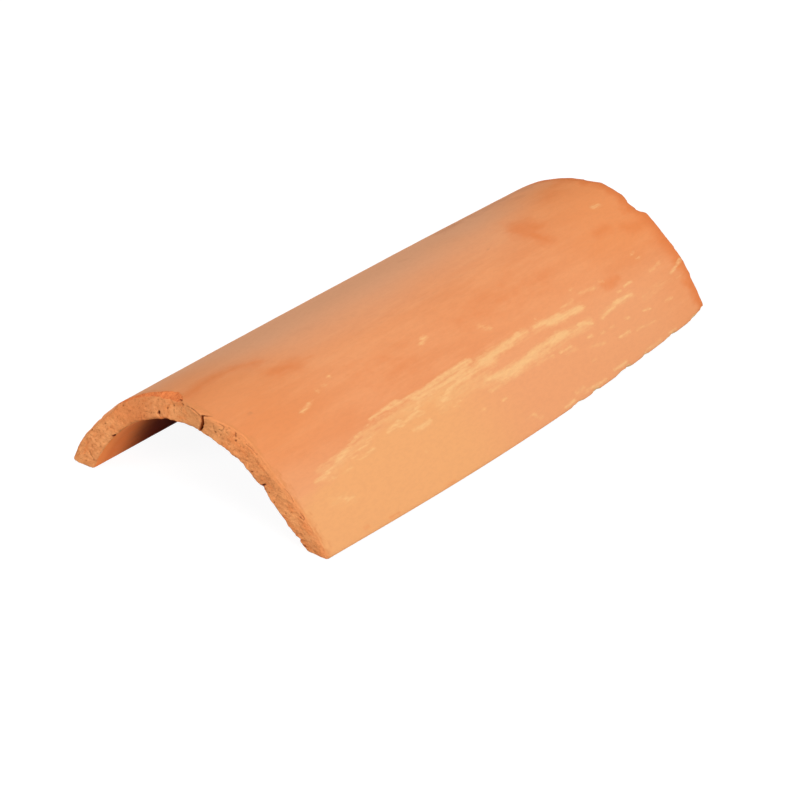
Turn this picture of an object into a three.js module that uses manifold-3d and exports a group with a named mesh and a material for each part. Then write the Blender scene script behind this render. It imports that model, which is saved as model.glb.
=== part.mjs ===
// Clay roof tile: a tapered barrel tile, hand made from one slab of clay.
//
// The slab is cut flat with rounded edges, then draped over a mould. The section is an arc that
// leans a little to one side, the feet bow outward, and both ends are cut by hand, so they wave.
// Knocks and a drying crack are taken out of the fired slab.
//
// Millimetres. +X is across the tile, +Y runs from the wide end to the narrow end, +Z is up.
// The origin is on the floor, in the middle of the tile's box.

import * as THREE from 'three';
import { mergeVertices, toCreasedNormals } from 'three/addons/utils/BufferGeometryUtils.js';
import Module from 'manifold-3d';

// ---- Driving dimensions -------------------------------------------------------------------

const LENGTH = 415; // between the furthest points of the two cut ends
const WIDE_END_WIDTH = 199; // over the feet, at the wide end
const NARROW_END_WIDTH = 179; // over the feet, at the narrow end
const WIDE_END_HEIGHT = 68.5; // floor to crest
const NARROW_END_HEIGHT = 71.4; // floor to crest
const CREST_BOW = 1.3; // the crest line arches up by this at mid-length
const WALL = 15; // thickness of the clay
const EDGE_ROUND = 2.4; // radius on every edge of the slab

const LEAN = 3.2; // the left shoulder stands out of a true arc by this, the right one in by it
const CROWN = 1.4; // the crest stands above a true arc by this
const RIGHT_FLARE = 8.2; // the right foot bows outward by this at mid-length
const LEFT_FLARE = 1.8; // the left foot bows outward by this at mid-length
const FLARE_FADE = 1.2; // 1 is a parabola, more makes the bow die out sooner towards the ends

// How far each cut end stands back from its furthest point: [place across, setback].
// Across runs from -1 at the left foot, over the crest at 0, to 1 at the right foot.
// The wide end isn't cut square, so its outer and its inner edge have a line each.
const WIDE_END_OUTER_CUT = [[-1, 0], [-0.2, 8.3], [0.07, 0.9], [0.3, 6.4], [0.52, 3.6], [1, 5.2]];
const WIDE_END_INNER_CUT = [
  [-1, 0], [-0.5, 3.2], [0.1, 3.9], [0.26, 3.4], [0.38, 4.8], [0.48, 3.5], [0.56, 4.3],
  [0.66, 2.8], [0.8, 2.8], [1, 5.6],
];
const NARROW_END_CUT = [
  [-1, 12], [-0.3, 10.7], [-0.06, 6], [0.02, 2], [0.17, 2.6], [0.25, 5.5], [0.29, 5.1], [0.345, 0.3],
  [0.48, 1.2], [0.62, 0], [0.7, 0], [0.82, 1.4], [1, 0.3],
];

// A sliver knocked off the top edge of the wide end, and a drying crack that opens there.
const SLIVER = { from: -0.55, to: -0.087, reach: 5, drop: 3 };
const CRACK = { across: 0.055, mouth: 1.8, length: 15, jog: 1.2, cover: 1.5 };

// Bites out of the lower edge of the wide end.
const LOWER_EDGE_BITES = [
  { across: 0.565, width: 6, reach: 1.5, height: 2.2 },
  { across: 0.91, width: 5, reach: 3, height: 2.5 },
];

// Flakes off the outer edge under the feet: reach is across the sole, rise is up the face.
// Along runs from 0 at the wide end to 1 at the narrow end. Each grows to its deepest place.
const FLAKES = [
  { foot: 1, from: 0.543, deepest: 0.61, to: 0.66, reach: 2.6, rise: 2 },
  { foot: 1, from: 0.635, deepest: 0.664, to: 0.677, reach: 3, rise: 3 },
  { foot: 1, from: 0.693, deepest: 0.753, to: 0.771, reach: 3.6, rise: 3 },
  { foot: 1, from: 0.772, deepest: 0.808, to: 0.823, reach: 2.5, rise: 2.8 },
  { foot: 1, from: 0.847, deepest: 0.89, to: 0.912, reach: 2.7, rise: 2.8 },
  { foot: 1, from: 0.924, deepest: 1, to: 1.02, reach: 4.6, rise: 4 },
  { foot: -1, from: -0.02, deepest: -0.01, to: 0.13, reach: 8, rise: 3.1 },
];

const CLAY_COLOUR = 0xe8965f;
const CREASE = THREE.MathUtils.degToRad(25); // a sharper bend between two faces is shown as an edge

// ---- Fineness of the mesh -----------------------------------------------------------------

const ACROSS_STEPS = 46;
const ALONG_STEPS = 24;
const WALL_STEPS = 6;
const BITE_STEPS = 10;
const SLIVER_STEPS = 12;
const OVERSHOOT = 2; // how far a cutter stands out of the clay

// ---- The arc ------------------------------------------------------------------------------

// 1 at mid-length, falling as a parabola to 0 at both ends.
const midness = (station) => Math.max(0, 4 * station * (1 - station));

// Circle through both feet and the crest of a true arc, for a place from 0 (wide end) to 1.
function arcAt(station) {
  const width = THREE.MathUtils.lerp(WIDE_END_WIDTH, NARROW_END_WIDTH, station);
  const height = THREE.MathUtils.lerp(WIDE_END_HEIGHT, NARROW_END_HEIGHT, station);
  const rise = height + CREST_BOW * midness(station) - CROWN;
  const radius = (width * width / 4 + rise * rise) / (2 * rise);
  return { radius, rise, halfAngle: Math.atan2(width / 2, radius - rise) };
}

const MID_ARC = arcAt(0.5);
const HALF_ARC = MID_ARC.radius * MID_ARC.halfAngle; // crest to foot, over the outside

// A point of the section, `depth` below the outer face and square to it.
function sectionPoint(across, station, depth) {
  const { radius, rise, halfAngle } = arcAt(station);
  const angle = across * halfAngle;
  const outward = new THREE.Vector2(Math.sin(angle), Math.cos(angle));
  const forward = new THREE.Vector2(Math.cos(angle), -Math.sin(angle));

  const leanTurn = Math.PI * across;
  const crownTurn = 1.5 * Math.PI * (across + 1);
  const bulge = -LEAN * Math.sin(leanTurn) - CROWN * Math.sin(crownTurn);
  const slope = (-LEAN * Math.PI * Math.cos(leanTurn)
    - CROWN * 1.5 * Math.PI * Math.cos(crownTurn)) / halfAngle;

  const normal = outward.clone().multiplyScalar(radius + bulge).addScaledVector(forward, -slope);
  const point = outward.clone().multiplyScalar(radius + bulge);
  point.addScaledVector(normal.normalize(), -depth);
  point.y -= radius - rise;

  const flare = across > 0 ? RIGHT_FLARE : -LEFT_FLARE;
  point.x += flare * midness(station) ** FLARE_FADE * across * across;
  return point;
}

// How far down the leg a face `depth` inside the wall meets the floor, as a place across.
function footPlace(side, station, depth) {
  let above = 0.5;
  let below = 1.5;
  for (let i = 0; i < 40; i++) {
    const middle = (above + below) / 2;
    if (sectionPoint(side * middle, station, depth).y > 0) above = middle;
    else below = middle;
  }
  return above;
}

// Where a point of the slab comes to rest on the mould. Level is 0 inside, 1 outside.
function drape(across, y, level) {
  const station = y / LENGTH + 0.5;
  const side = across < 0 ? -1 : 1;
  const outside = sectionPoint(across, station, 0);
  const inside = sectionPoint(across * footPlace(side, station, WALL), station, WALL);
  const point = inside.lerp(outside, level);
  return new THREE.Vector3(point.x, y, point.y);
}

// ---- The cut ends -------------------------------------------------------------------------

// The setback of a cut end, easing from one listed place to the next.
function setback(cut, across) {
  const place = THREE.MathUtils.clamp(across, -1, 1);
  const next = Math.max(1, cut.findIndex(([stop]) => stop >= place));
  const [from, before] = cut[next - 1];
  const [to, after] = cut[next];
  return THREE.MathUtils.lerp(before, after, THREE.MathUtils.smoothstep(place, from, to));
}

function wideEnd(across, level) {
  const inner = setback(WIDE_END_INNER_CUT, across);
  const outer = setback(WIDE_END_OUTER_CUT, across);
  return -LENGTH / 2 + THREE.MathUtils.lerp(inner, outer, level);
}

const narrowEnd = (across) => LENGTH / 2 - setback(NARROW_END_CUT, across);

// ---- The slab -----------------------------------------------------------------------------

// Grid lines of one side of the slab: close together over the rounded edges, even between.
function gridLine(index, steps, size) {
  const nearEdge = Math.min(index, steps - index);
  const inEdge = [0, EDGE_ROUND * Math.tan(Math.PI / 8)];
  const even = EDGE_ROUND + (size - 2 * EDGE_ROUND) * (nearEdge - 2) / (steps - 4);
  const distance = inEdge[nearEdge] ?? even;
  return index <= steps / 2 ? distance : size - distance;
}

function slab() {
  const size = new THREE.Vector3(2 * HALF_ARC, LENGTH, WALL);
  const steps = new THREE.Vector3(ACROSS_STEPS, ALONG_STEPS, WALL_STEPS);
  const geometry = new THREE.BoxGeometry(...steps, ...steps);
  const low = new THREE.Vector3().setScalar(EDGE_ROUND);
  const high = size.clone().subScalar(EDGE_ROUND);

  moveVertices(geometry, (vertex) => {
    const index = vertex.addScaledVector(steps, 0.5).round();
    const flat = new THREE.Vector3(
      gridLine(index.x, steps.x, size.x),
      gridLine(index.y, steps.y, size.y),
      gridLine(index.z, steps.z, size.z),
    );
    const core = flat.clone().clamp(low, high);
    const rounded = flat.sub(core).setLength(EDGE_ROUND).add(core).divide(size);
    const across = 2 * rounded.x - 1;
    const start = wideEnd(across, rounded.z);
    const y = THREE.MathUtils.lerp(start, narrowEnd(across), rounded.y);
    return drape(across, y, rounded.z);
  });
  return geometry;
}

function moveVertices(geometry, move) {
  const position = geometry.getAttribute('position');
  for (let i = 0; i < position.count; i++) {
    const moved = move(new THREE.Vector3().fromBufferAttribute(position, i));
    position.setXYZ(i, moved.x, moved.y, moved.z);
  }
}

// ---- Cutters ------------------------------------------------------------------------------
// Each is shaped beside a flat slab, with x across, y along and z through the wall, and is then
// draped as the slab is.

// z = 0 is the outer face, and y = 0 the wide end's cut.
function drapeAtWideEnd(geometry, across) {
  moveVertices(geometry, ({ x, y, z }) => {
    const place = across + x / HALF_ARC;
    const level = 1 + z / WALL;
    return drape(place, wideEnd(place, level) + y, level);
  });
  return geometry;
}

function sliver() {
  const { from, to, reach, drop } = SLIVER;
  const face = Math.hypot(reach, drop);
  const over = OVERSHOOT / face;
  const back = reach * (1 + over);
  const front = -reach * over;
  const top = drop * over;
  const bottom = -drop * (1 + over);
  const outline = new THREE.Shape([
    new THREE.Vector2(front, bottom),
    new THREE.Vector2(back, top),
    new THREE.Vector2(front, top),
  ]);
  const run = (to - from) * HALF_ARC;
  const geometry = new THREE.ExtrudeGeometry(outline, {
    depth: run, steps: SLIVER_STEPS, bevelEnabled: false,
  });
  moveVertices(geometry, ({ x, y, z }) => {
    const growth = Math.sqrt(z / run) * 0.95 + 0.05;
    return new THREE.Vector3(z, x * growth, y * growth);
  });
  return drapeAtWideEnd(geometry, from);
}

function crack() {
  const { mouth, length, jog, cover } = CRACK;
  const outline = new THREE.Shape([
    new THREE.Vector2(-mouth / 2, -OVERSHOOT),
    new THREE.Vector2(mouth / 2, -OVERSHOOT),
    new THREE.Vector2(mouth / 2 + jog, length / 3),
    new THREE.Vector2(jog / 2, length),
    new THREE.Vector2(-mouth / 3 + jog, length / 3),
  ]);
  const geometry = new THREE.ExtrudeGeometry(outline, {
    depth: WALL + OVERSHOOT - cover, bevelEnabled: false,
  });
  geometry.translate(0, 0, -WALL - OVERSHOOT);
  return drapeAtWideEnd(geometry, CRACK.across);
}

function bite(width, length, height) {
  const geometry = new THREE.SphereGeometry(1, BITE_STEPS, BITE_STEPS / 2);
  return geometry.scale(width / 2, length / 2, height);
}

const lowerEdgeBites = () => LOWER_EDGE_BITES.map(({ across, width, reach, height }) =>
  drapeAtWideEnd(bite(width, 2 * reach, height).translate(0, 0, -WALL), across));

function flake({ foot, from, deepest, to, reach, rise }) {
  const over = OVERSHOOT / Math.hypot(reach, rise);
  const outline = new THREE.Shape([
    new THREE.Vector2(-reach * (1 + over), foot * rise * over),
    new THREE.Vector2(reach * over, foot * rise * over),
    new THREE.Vector2(reach * over, -foot * rise * (1 + over)),
  ]);
  const stops = [from, deepest, to];
  const geometry = new THREE.ExtrudeGeometry(outline, {
    depth: stops.length - 1, steps: stops.length - 1, bevelEnabled: false,
  });
  moveVertices(geometry, ({ x, y, z }) => {
    const stop = Math.round(z);
    const growth = stop === 1 ? 1 : 0.05;
    const across = foot + y * growth / HALF_ARC;
    return drape(across, LENGTH * (stops[stop] - 0.5), 1 + x * growth / WALL);
  });
  return geometry;
}

// ---- Cutting ------------------------------------------------------------------------------

const wasm = await Module();
wasm.setup();

function toSolid(geometry) {
  geometry.deleteAttribute('normal');
  geometry.deleteAttribute('uv');
  const merged = mergeVertices(geometry);
  return new wasm.Manifold(new wasm.Mesh({
    numProp: 3,
    vertProperties: Float32Array.from(merged.getAttribute('position').array),
    triVerts: Uint32Array.from(merged.index.array),
  }));
}

function toGeometry(solid) {
  const { vertProperties, triVerts } = solid.getMesh();
  const geometry = new THREE.BufferGeometry();
  geometry.setAttribute('position', new THREE.BufferAttribute(vertProperties, 3));
  geometry.setIndex(new THREE.BufferAttribute(triVerts, 1));
  return toCreasedNormals(geometry, CREASE);
}

function knocked(blank) {
  const cutters = [
    sliver(),
    crack(),
    ...lowerEdgeBites(),
    ...FLAKES.map(flake),
  ];
  return cutters.reduce((solid, cutter) => solid.subtract(toSolid(cutter)), toSolid(blank));
}

// ---- The tile -----------------------------------------------------------------------------

function centred(geometry) {
  geometry.computeBoundingBox();
  const { x, y } = geometry.boundingBox.getCenter(new THREE.Vector3());
  return geometry.translate(-x, -y, 0);
}

const clay = new THREE.MeshStandardMaterial({ color: CLAY_COLOUR, roughness: 0.85, metalness: 0 });

const tile = new THREE.Mesh(centred(toGeometry(knocked(slab()))), clay);
tile.name = 'clay_tile';

const roofTile = new THREE.Group();
roofTile.add(tile);

export default roofTile;
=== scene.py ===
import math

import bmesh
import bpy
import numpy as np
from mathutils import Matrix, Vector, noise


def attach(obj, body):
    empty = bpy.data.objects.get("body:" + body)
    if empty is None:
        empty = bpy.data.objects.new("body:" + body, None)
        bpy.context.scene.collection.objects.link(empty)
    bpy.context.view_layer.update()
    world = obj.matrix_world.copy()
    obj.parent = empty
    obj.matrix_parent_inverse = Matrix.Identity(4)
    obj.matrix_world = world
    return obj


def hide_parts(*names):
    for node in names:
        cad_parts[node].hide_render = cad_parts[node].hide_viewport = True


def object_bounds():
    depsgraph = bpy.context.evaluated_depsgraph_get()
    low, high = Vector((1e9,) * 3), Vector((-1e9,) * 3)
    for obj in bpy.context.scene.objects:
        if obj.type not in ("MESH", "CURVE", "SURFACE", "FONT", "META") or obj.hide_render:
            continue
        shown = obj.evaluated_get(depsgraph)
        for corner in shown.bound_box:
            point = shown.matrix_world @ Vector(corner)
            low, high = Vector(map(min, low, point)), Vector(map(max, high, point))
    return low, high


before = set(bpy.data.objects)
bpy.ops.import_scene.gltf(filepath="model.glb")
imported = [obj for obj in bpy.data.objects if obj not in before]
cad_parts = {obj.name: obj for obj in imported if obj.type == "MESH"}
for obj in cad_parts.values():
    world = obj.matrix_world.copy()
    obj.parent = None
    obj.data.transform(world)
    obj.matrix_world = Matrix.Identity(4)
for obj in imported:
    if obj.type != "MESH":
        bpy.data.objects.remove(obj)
CAD_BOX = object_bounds()

# Looks of a hand-made clay roof tile. The slab of the part's source is draped again as a fine
# mesh, its cut ends, edges and skin get their relief, and one procedural terracotta covers it.
#
# The slab is worked in millimetres. Across runs from -1 at the left foot, over the crest at 0,
# to 1 at the right foot. Along is y, from the wide end to the narrow end. Depth is measured from
# the inner face, so it is 0 inside and WALL outside, and level is the same from 0 to 1.

MM = 0.001

# ---- The tile, as in the part's source ----------------------------------------------------

LENGTH = 415.0
WIDE_END_WIDTH = 199.0
NARROW_END_WIDTH = 179.0
WIDE_END_HEIGHT = 68.5
NARROW_END_HEIGHT = 71.4
CREST_BOW = 1.3
WALL = 15.0
EDGE_ROUND = 2.4
LEAN = 3.2
CROWN = 1.4
RIGHT_FLARE = 8.2
LEFT_FLARE = 1.8
FLARE_FADE = 1.2

# How far the cut ends are set back from the full length, at places across.
WIDE_END_OUTER_CUT = [(-1, 0), (-0.2, 8.3), (0.07, 0.9), (0.3, 6.4), (0.52, 3.6), (1, 5.2)]
WIDE_END_INNER_CUT = [
    (-1, 0), (-0.5, 3.2), (0.1, 3.9), (0.26, 3.4), (0.38, 4.8), (0.48, 3.5), (0.56, 4.3),
    (0.66, 2.8), (0.8, 2.8), (1, 5.6),
]
NARROW_END_CUT = [
    (-1, 12), (-0.3, 10.7), (-0.06, 6), (0.02, 2), (0.17, 2.6), (0.25, 5.5), (0.29, 5.1),
    (0.345, 0.3), (0.48, 1.2), (0.62, 0), (0.7, 0), (0.82, 1.4), (1, 0.3),
]

# Off the outer edge of the wide end's cut: how far back and down, and what share of that comes
# off at places across, where the sliver broke away and where the edge is only worn.
SLIVER = dict(reach=5.0, drop=3.0)
SLIVER_GROWTH = [
    (-0.62, 0.0), (-0.5, 0.4), (-0.3, 0.5), (-0.165, 1.0), (-0.11, 0.7), (-0.087, 0.3),
]
WORN_GROWTH = [
    (-0.84, 0.0), (-0.78, 0.7), (-0.7, 1.05), (-0.6, 1.05), (-0.52, 0.4), (-0.46, 0.0),
]

# The left leg thickens inward from its top to the foot, less and less away from the wide end.
TOE = dict(thicker=1.6, top=-0.5, fades=220.0)

# Bites out of the inner edge of the wide end's cut.
LOWER_EDGE_BITES = [
    dict(across=0.565, width=6.0, reach=1.5, height=2.2),
    dict(across=0.91, width=5.0, reach=3.0, height=2.5),
    dict(across=-0.155, width=5.0, reach=1.8, height=1.2),
    dict(across=-0.225, width=13.0, reach=2.2, height=1.6),
    dict(across=-0.42, width=6.0, reach=1.8, height=1.2),
]
BITE_GROWTH = 1.3  # times a bite's reach and height, in its middle

TEAR_BAND = 3.5  # the torn grain of a cut end fades out this far behind it
SLUMP = dict(deep=0.7, fades=10.0)  # of the outer face, beside the narrow end

# Flakes off the outer edge under a foot: foot, start, deepest, end (0..1 along), reach, rise.
FLAKES = [
    (1, 0.543, 0.61, 0.66, 2.6, 2.0),
    (1, 0.635, 0.664, 0.677, 3.0, 3.0),
    (1, 0.693, 0.753, 0.771, 3.6, 3.0),
    (1, 0.772, 0.808, 0.823, 2.5, 2.8),
    (1, 0.847, 0.89, 0.912, 2.7, 2.8),
    (1, 0.924, 1.0, 1.02, 5.6, 5.4),
    (-1, -0.02, -0.01, 0.13, 8.0, 3.1),
]

# ---- Marks in the wide end's cut: width, depth, and a line of (across, level) --------------
# A mark's depth is its level times WALL. Past 1 it goes on over the outer face, behind the cut.

CRACK = (2.4, 10.0, [(0.068, 0.9), (0.071, 0.6), (0.064, 0.35), (0.052, 0.1)])
CUT_MARKS = [
    (1.5, 1.0, [(0.069, 0.98), (0.087, 1.07)]),
    (1.3, 0.6, [(0.087, 1.07), (0.106, 1.25)]),
    (1.5, 0.7, [(-0.085, 0.86), (-0.072, 0.84)]),
    (2.0, 1.0, [(-0.112, 1.0), (-0.094, 0.97)]),
    (1.1, 0.4, [(-0.05, 0.89), (-0.025, 0.93)]),
    (1.3, 0.6, [(-0.012, 0.94), (0.015, 0.96), (0.045, 0.89)]),
    (1.0, 0.45, [(0.133, 0.84), (0.14, 0.62), (0.156, 0.5)]),
    (1.0, 0.45, [(0.16, 1.0), (0.182, 0.98), (0.19, 0.82), (0.178, 0.68)]),
    (0.9, 0.4, [(0.207, 1.0), (0.2, 0.82), (0.222, 0.72)]),
    (1.4, 0.9, [(0.245, 0.98), (0.257, 0.82)]),
    (1.0, 0.4, [(0.321, 0.88), (0.358, 0.94), (0.397, 0.95)]),
    (1.0, 0.5, [(0.605, 1.05), (0.64, 1.1), (0.68, 1.02)]),
    (1.0, 0.6, [(0.747, 0.97), (0.775, 0.99), (0.785, 0.9), (0.765, 0.83)]),
    (1.0, 0.5, [(0.641, 0.37), (0.626, 0.53)]),
    (0.9, 0.35, [(-0.369, 0.4), (-0.33, 0.3), (-0.29, 0.27)]),
    (1.0, 0.5, [(-0.375, 0.27), (-0.379, 0.1)]),
    (1.0, 0.5, [(-0.885, 0.42), (-0.905, 0.26), (-0.92, 0.08)]),
    (1.8, 1.4, [(0.55, 0.28), (0.556, 0.0)]),
    (2.4, 1.4, [(0.94, 0.05), (0.955, 0.18)]),
    (1.8, 1.1, [(0.967, 0.48)]),
    (2.6, 1.9, [(-0.263, 0.26)]),
    (2.3, 1.2, [(-0.763, 0.89)]),
    (2.3, 1.6, [(-0.675, 0.02), (-0.69, 0.04)]),
    (1.5, 1.0, [(-0.195, 0.49)]),
    (1.6, 1.1, [(-0.148, 0.63)]),
    (1.5, 1.0, [(-0.496, 0.83)]),
    (1.3, 0.8, [(-0.56, 0.89)]),
    (1.4, 0.9, [(-0.666, 0.64)]),
    (1.4, 0.9, [(0.031, 0.6)]),
    (1.7, 1.2, [(0.154, 0.48)]),
    (1.4, 0.8, [(0.17, 0.7)]),
    (1.4, 0.9, [(0.187, 0.5)]),
    (1.4, 0.8, [(0.207, 1.04)]),
    (1.7, 1.2, [(0.268, 0.67)]),
    (1.7, 1.2, [(0.455, 0.2)]),
    (1.4, 0.9, [(0.604, 0.22)]),
    (1.4, 0.9, [(0.666, 0.15)]),
    (1.4, 0.9, [(0.74, 0.3)]),
]

# ---- Paint on the skin and the wide end's cut -----------------------------------------------
# Half width, strength, and a line of (across, along) in mm. The cut is at an along near -204.

LIME_STROKES = [
    (2.0, 0.8, [(83, -180), (81.5, -172), (80.5, -166)]),
    (1.5, 0.7, [(80, -170), (79, -163), (77.5, -156)]),
    (2.4, 0.95, [(77.5, -156), (76.5, -150), (75, -143)]),
    (2.2, 0.7, [(75, -146), (73, -138), (71.5, -130)]),
    (1.8, 0.55, [(70.5, -131), (69, -120)]),
    (1.7, 0.95, [(66.5, -118), (65.8, -108), (65.2, -98), (65.3, -88)]),
    (1.5, 0.5, [(67.8, -101), (67.5, -85)]),
    (2.5, 1.0, [(69.5, -79), (68.5, -75)]),
    (1.7, 0.65, [(66.5, -85), (67, -73), (67, -64)]),
    (2.5, 0.7, [(75.5, -82), (73.5, -78), (72, -73)]),
    (1.8, 0.75, [(78.5, -112), (77.5, -103), (76, -98)]),
    (1.8, 0.75, [(81, -101), (79.5, -97)]),
    (2.0, 0.8, [(79, -93), (77.5, -86), (77, -80)]),
    (1.5, 0.5, [(80.5, -84), (79.5, -76)]),
    (1.4, 0.6, [(79, -141), (78.5, -133)]),
    (1.8, 0.6, [(77.5, -129), (76, -123)]),
    (1.6, 0.8, [(84.3, -141), (83.5, -135)]),
    (1.6, 0.6, [(83, -133), (82.3, -126)]),
    (1.3, 0.55, [(81.3, -148), (80.5, -142)]),
    (1.6, 0.5, [(86.5, -158), (85.5, -150)]),
    (1.7, 0.6, [(85, -171), (86, -165)]),
    (1.6, 0.4, [(98, -175), (98.5, -168)]),
    (2.2, 0.64, [(101, -170), (100, -165)]),
    (1.4, 0.48, [(101, -164), (101.5, -161)]),
    (2.0, 0.6, [(86, -93), (86.5, -84), (86, -77)]),
    (1.2, 0.4, [(99.5, -96), (101, -92)]),
    (2.2, 0.9, [(67.5, -65), (67, -50), (66.5, -35), (66.5, -18)]),
    (3.2, 0.8, [(69.6, -78), (70, -68), (71, -56), (70.5, -38), (70, -22)]),
    (3.0, 0.7, [(79, -60), (77.5, -52), (75, -40), (73.5, -24), (72.5, -14)]),
    (3.0, 0.5, [(72, -66), (72.5, -58)]),
    (4.2, 0.65, [(74, -36), (75.5, -29)]),
    (2.0, 0.6, [(70.5, -56), (71, -46), (72, -38)]),
    (6.3, 0.95, [(72, -13), (72.5, -2)]),
    (4.6, 0.9, [(71.5, -2), (71, 8), (70.5, 20)]),
    (3.6, 0.95, [(70.5, 20), (69.3, 30)]),
    (2.4, 0.6, [(69.5, 30), (70.7, 39)]),
    (2.9, 0.9, [(70.5, 46), (71, 57)]),
    (1.0, 0.5, [(69, 48), (65.5, 52)]),
    (5.0, 0.95, [(72.3, 59), (73, 67), (74, 72)]),
    (3.4, 0.9, [(74.5, 74), (75, 84), (75.5, 93)]),
    (2.6, 0.85, [(79.5, -60), (80, -55), (81, -52)]),
    (1.5, 0.5, [(83, -53), (84.5, -46)]),
    (1.4, 0.45, [(86.5, -55), (87, -49)]),
    (4.0, 0.8, [(82, -18), (84, -12), (84.5, -4)]),
    (5.2, 0.85, [(85.5, -4), (86, 5), (86.5, 14)]),
    (3.6, 0.9, [(85.5, 14), (85, 23), (84, 33)]),
    (3.6, 0.55, [(87.5, 18), (87.5, 32), (87, 46)]),
    (3.6, 0.75, [(83.5, 33), (83.5, 46)]),
    (4.8, 0.9, [(84, 49), (84.5, 60), (84.8, 67)]),
    (2.8, 0.6, [(86, 70), (86, 82)]),
    (2.3, 0.85, [(83.8, 81), (85.5, 87), (88, 93)]),
    (2.2, 0.4, [(89, -22), (89.5, 10)]),
    (1.8, 0.4, [(90.5, 28), (91.5, 46)]),
    (2.0, 0.4, [(92.5, 52), (93, 64)]),
    (1.5, 0.32, [(95.5, 56), (96, 68)]),
    (1.5, 0.56, [(97, -36), (97.3, -31)]),
    (1.4, 0.48, [(98.3, -16), (97.8, -10)]),
    (1.6, 0.5, [(69.5, 77), (68.5, 91)]),
    (1.5, 0.5, [(62.2, 94), (61.5, 98)]),
    (1.7, 0.32, [(67.5, 100), (68.3, 109), (69, 116)]),
    (1.4, 0.32, [(67.5, 122), (68.5, 126)]),
    (2.0, 0.75, [(88.7, 104), (87.5, 112), (86.5, 121)]),
    (2.1, 0.85, [(85, 122), (85.3, 130), (86, 142)]),
    (1.2, 0.44, [(79.5, 130), (79.8, 135)]),
    (1.2, 0.68, [(79.2, 139), (79, 145)]),
    (1.1, 0.48, [(78, 146), (79.5, 149)]),
    (1.6, 0.48, [(79.5, 170), (79, 183)]),
    (1.4, 0.56, [(78.3, 181), (78.6, 185)]),
    (1.4, 0.64, [(89, 187), (87.5, 193), (86, 198)]),
    (2.1, 0.8, [(86, 198), (84.5, 204)]),
    (1.5, 0.4, [(93.5, 190), (94, 196)]),
    (1.3, 0.56, [(94, 82), (94.5, 87)]),
    (1.2, 0.4, [(96.5, 95), (97, 99)]),
    (1.2, 0.4, [(96.5, 106), (97, 110)]),
    (1.4, 0.6, [(97.5, 123), (98.7, 128)]),
    (1.3, 0.4, [(100.5, 79), (101, 84)]),
    (1.5, 0.56, [(101.5, 86), (102.5, 94)]),
    (1.2, 0.56, [(99.8, 143), (101, 151)]),
    (1.3, 0.56, [(103, 168), (103.5, 177)]),
    (1.6, 0.52, [(105, 109), (106, 114), (106.5, 121)]),
    (1.1, 0.48, [(108, 127), (108, 134), (109.5, 142), (110.2, 151)]),
    (1.2, 0.32, [(108, 73), (107.5, 79)]),
    (2.1, 0.48, [(114, 0), (116, 4)]),
    (1.8, 0.4, [(118.5, 4), (119, 9)]),
    (1.7, 0.4, [(118.5, 46), (118.5, 56)]),
    (1.6, 0.56, [(122, 31), (121.5, 43)]),
    (1.6, 0.48, [(121.5, 55), (121, 62)]),
    (2.0, 0.7, [(122, 63), (122.5, 79)]),
    (1.8, 0.6, [(120.5, 90), (120.5, 105)]),
    (1.6, 0.45, [(122.5, 128), (122.5, 148)]),
    (1.6, 0.45, [(122.7, 158), (123, 167)]),
    (1.6, 0.44, [(63.5, 164), (62, 168)]),
    (1.5, 0.4, [(68, 166), (67.5, 171)]),
    (2.0, 0.75, [(41.5, -155), (40, -148), (38.3, -142)]),
    (2.0, 0.5, [(35, -134), (33.5, -130)]),
    (1.5, 0.4, [(33.5, -124), (32, -121)]),
    (1.6, 0.7, [(30.5, -118), (29.8, -115)]),
    (2.1, 0.7, [(43, -43), (41, -40), (39, -37)]),
    (2.0, 0.6, [(41, -35), (39.5, -32)]),
    (2.6, 0.45, [(18.8, 172), (19.5, 179)]),
    (2.5, 0.3, [(52, 8), (56, 14)]),
    (2.2, 0.7, [(-84, -150), (-82.5, -118)]),
    (2.6, 0.6, [(-80.5, -84), (-80, -42)]),
    (1.8, 0.5, [(-91.5, 30), (-93, 64)]),
    (1.6, 0.5, [(-99, -60), (-100, -38)]),
    (1.7, 0.5, [(-92.5, 96), (-91, 124)]),
]
HAZE_STROKES = [
    (7.0, 0.8, [(80, -172), (77, -148), (73.5, -125), (71, -105), (72, -70), (73, -40),
                (72, -12)]),
    (9.0, 0.7, [(81, -62), (80, -30), (80, -14)]),
    (6.5, 0.8, [(71, -12), (70.5, 10), (70.5, 36)]),
    (5.5, 0.7, [(71.5, 44), (73, 68), (75, 94)]),
    (6.5, 0.8, [(84, -22), (86, 5), (86, 40), (86, 70), (87, 92)]),
    (4.5, 0.6, [(88, 104), (86, 122), (86, 142)]),
    (5.0, 0.4, [(93, 150), (92, 185)]),
    (6.0, 0.5, [(97, -178), (102, -162)]),
    (7.0, 0.3, [(116, -4), (118, 10)]),
    (6.0, 0.5, [(-86, -160), (-82, -90), (-81, -20)]),
    (5.0, 0.45, [(-90, 10), (-93, 70), (-92, 120)]),
]
PEACH_STROKES = [
    (35.0, 1.0, [(120, -210), (117, -185), (111, -155), (105, -125), (101, -95), (101, 0)]),
]
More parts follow.
